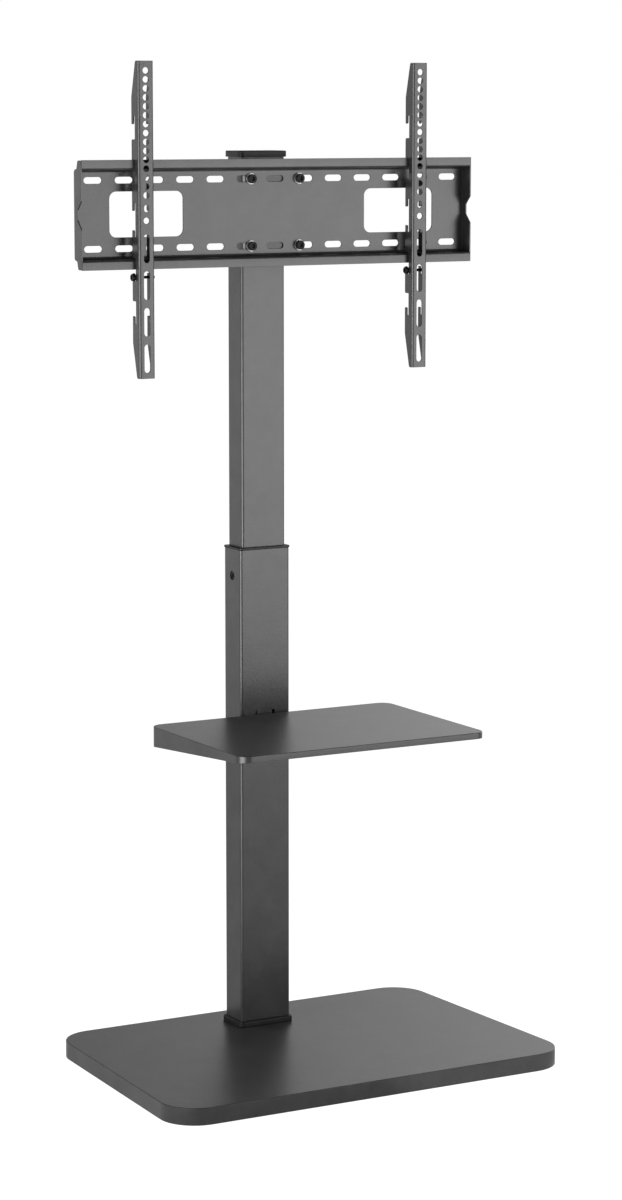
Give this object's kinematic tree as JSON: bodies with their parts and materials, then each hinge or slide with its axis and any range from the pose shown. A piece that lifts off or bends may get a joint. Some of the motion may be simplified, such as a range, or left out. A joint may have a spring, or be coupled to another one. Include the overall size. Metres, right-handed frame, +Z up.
{
  "type": "television floor stand",
  "caption": "Television floor stand: flat steel base, telescopic column, small equipment shelf, and a slotted plate with two hooked arms that slide sideways.",
  "frame": {"origin": "on the floor, under the middle of the base's bounding rectangle", "axes": "+Z up, -Y towards the viewer and the side where the television faces, +X to the viewer's right"},
  "size_m": [0.6218, 0.426, 1.411],
  "materials": {
    "powder_coat": "fine matt powder coat, dark grey",
    "arm_coat": "fine satin powder coat, dark grey",
    "bracket_coat": "matt powder coat, near black",
    "bare_steel": "zinc plated sheet",
    "bright_steel": "bright zinc",
    "black_steel": "black oxide, satin",
    "black_plastic": "moulded, satin",
    "grey_plastic": "moulded, matt",
    "rubber": "matt"
  },
  "bodies": {
    "stand": {"base_cover": "powder_coat", "base_plate": "bare_steel", "base_rib_left": "bare_steel", "base_rib_right": "bare_steel", "base_screw_1": "bright_steel", "base_screw_2": "bright_steel", "base_screw_3": "bright_steel", "base_screw_4": "bright_steel", "foot_bolt_1": "bright_steel", "foot_bolt_2": "bright_steel", "foot_bolt_3": "bright_steel", "foot_bolt_4": "bright_steel", "rubber_foot_1": "rubber", "rubber_foot_2": "rubber", "rubber_foot_3": "rubber", "rubber_foot_4": "rubber", "foot_flange": "bare_steel", "lower_tube": "powder_coat", "base_trim": "black_plastic", "tube_collar": "black_plastic", "lock_nut_left": "bare_steel", "lock_nut_right": "bare_steel", "lock_screw_left": "black_steel", "lock_screw_right": "black_steel", "shelf_tray": "powder_coat", "shelf_bracket": "bracket_coat", "shelf_stud_1": "bright_steel", "shelf_stud_2": "bright_steel", "shelf_stud_3": "bright_steel", "shelf_stud_4": "bright_steel", "shelf_nut_1": "bright_steel", "shelf_nut_2": "bright_steel", "shelf_nut_3": "bright_steel", "shelf_nut_4": "bright_steel"},
    "mast": {"upper_tube": "powder_coat", "tube_guide": "grey_plastic", "top_cap": "black_plastic", "mount_bracket": "bracket_coat", "mount_bolt_1": "black_steel", "mount_bolt_2": "black_steel", "mount_bolt_3": "black_steel", "mount_bolt_4": "black_steel", "mount_washer_1": "bright_steel", "mount_washer_2": "bright_steel", "mount_washer_3": "bright_steel", "mount_washer_4": "bright_steel", "mount_nut_1": "bright_steel", "mount_nut_2": "bright_steel", "mount_nut_3": "bright_steel", "mount_nut_4": "bright_steel", "interface_plate": "powder_coat"},
    "left_arm": {"arm_left": "arm_coat", "safety_bolt_left": "black_steel", "safety_nut_left": "black_steel"},
    "right_arm": {"arm_right": "arm_coat", "safety_bolt_right": "black_steel", "safety_nut_right": "black_steel"}
  },
  "joints": [
    {"name": "height_slide", "type": "slide", "parent": "stand", "child": "mast", "axis": [0, 0, 1], "range_m": [-0.085, 0]},
    {"name": "left_arm_slide", "type": "slide", "parent": "mast", "child": "left_arm", "axis": [1, 0, 0], "range_m": [-0.077, 0.167]},
    {"name": "right_arm_slide", "type": "slide", "parent": "mast", "child": "right_arm", "axis": [1, 0, 0], "range_m": [-0.167, 0.077]}
  ]
}
